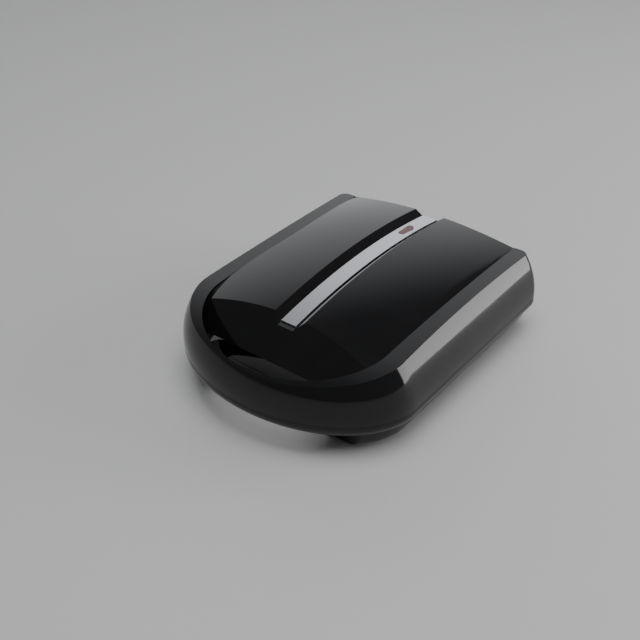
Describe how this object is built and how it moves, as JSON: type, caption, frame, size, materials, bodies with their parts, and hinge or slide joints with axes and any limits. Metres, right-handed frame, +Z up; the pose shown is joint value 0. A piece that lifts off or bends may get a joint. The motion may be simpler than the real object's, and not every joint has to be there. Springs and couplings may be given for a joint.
{
  "type": "electric nut cookie maker",
  "caption": "Electric clamshell maker for walnut-shaped cookies: two cast baking plates in a glossy hinged case with a bow handle and a metal strip.",
  "frame": {"origin": "on the floor under the middle of the closed machine", "axes": "+Z up, -Y towards the handle bow, +Y towards the hinge, X across"},
  "size_m": [0.226, 0.277, 0.0857],
  "materials": {
    "gloss_black": "high gloss moulded",
    "matt_black": "fine matt",
    "cast_plate": "non-stick coated casting",
    "heater_tube": "heat tinted tube",
    "folded_steel": "plain folded sheet",
    "zinc_screw": "zinc plated",
    "rubber": "matt",
    "ceramic": "glazed ceramic look",
    "phenolic": "dull moulded",
    "strip_metal": "satin brushed",
    "red_lens": "tinted clear",
    "lamp_glass": "glass tube",
    "white_plastic": "moulded"
  },
  "bodies": {
    "base": {"base_shell": "gloss_black", "lower_frame": "matt_black", "base_handle_cover": "matt_black", "lower_baking_plate": "cast_plate", "lower_heater": "heater_tube", "lower_heater_clips": "folded_steel", "lower_clip_screws": "zinc_screw", "lower_heat_tray": "folded_steel", "lower_plate_screws": "zinc_screw", "base_frame_screws": "zinc_screw", "base_cover_screws": "zinc_screw", "terminal_block": "ceramic", "terminal_block_screws": "zinc_screw", "rubber_feet": "rubber", "cord_gland": "rubber", "hinge_pin_left": "folded_steel", "hinge_pin_right": "folded_steel"},
    "lid": {"lid_shell": "gloss_black", "lid_frame": "matt_black", "lid_handle_cover": "matt_black", "upper_baking_plate": "cast_plate", "upper_heater": "heater_tube", "upper_heater_clips": "folded_steel", "upper_clip_screws": "zinc_screw", "upper_heat_tray": "folded_steel", "upper_plate_screws": "zinc_screw", "lid_frame_screws": "zinc_screw", "lid_cover_screws": "zinc_screw", "thermostat": "phenolic", "thermostat_blades": "folded_steel", "thermal_fuse": "ceramic", "fuse_clip": "folded_steel", "sensor_screws": "zinc_screw", "accent_strip": "strip_metal", "indicator_lens": "red_lens", "lamp_holder": "white_plastic", "indicator_lamps": "lamp_glass"}
  },
  "joints": [
    {"name": "lid_hinge", "type": "hinge", "parent": "base", "child": "lid", "pos_m": [0, 0.1325, 0.0323], "axis": [-1, 0, 0], "range_deg": [0, 105]}
  ]
}
